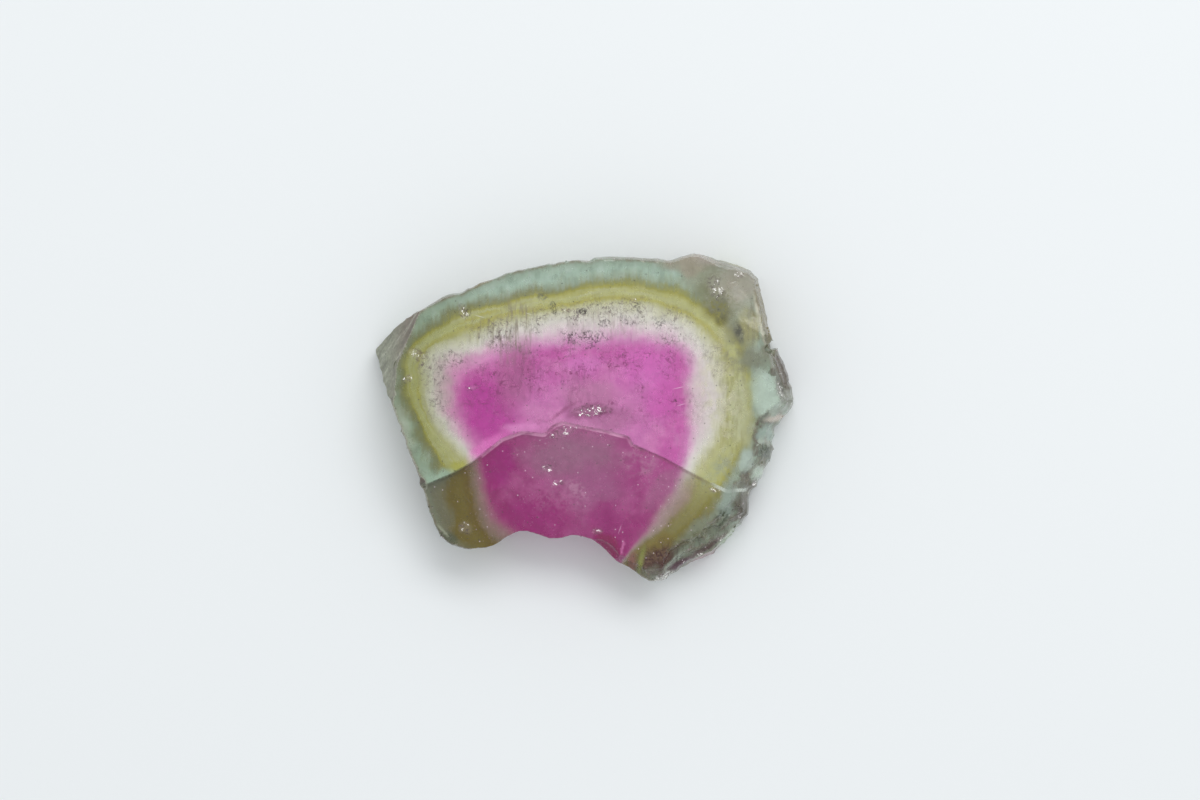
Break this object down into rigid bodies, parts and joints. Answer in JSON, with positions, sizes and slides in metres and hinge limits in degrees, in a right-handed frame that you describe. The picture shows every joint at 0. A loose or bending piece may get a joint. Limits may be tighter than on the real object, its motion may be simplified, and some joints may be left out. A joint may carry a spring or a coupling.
{
  "type": "watermelon tourmaline slice",
  "caption": "Natural cross-section slice of a zoned tourmaline crystal with a magenta core, pale and olive zones, a mint rind, a broken foot and a fracture ledge. Lies flat on its sawn back.",
  "frame": {"origin": "centre of the footprint, on the sawn back that the slice lies on", "axes": "+Z out of the front face, along the crystal's length; +X towards the right of the picture; +Y towards its top"},
  "size_m": [0.019, 0.0148, 0.003],
  "materials": {
    "zoned_tourmaline": "vitreous natural crystal, translucent, magenta core to olive and mint-green rind, lightly scratched face"
  },
  "bodies": {
    "root": {"tourmaline_slice": "zoned_tourmaline"}
  },
  "joints": []
}
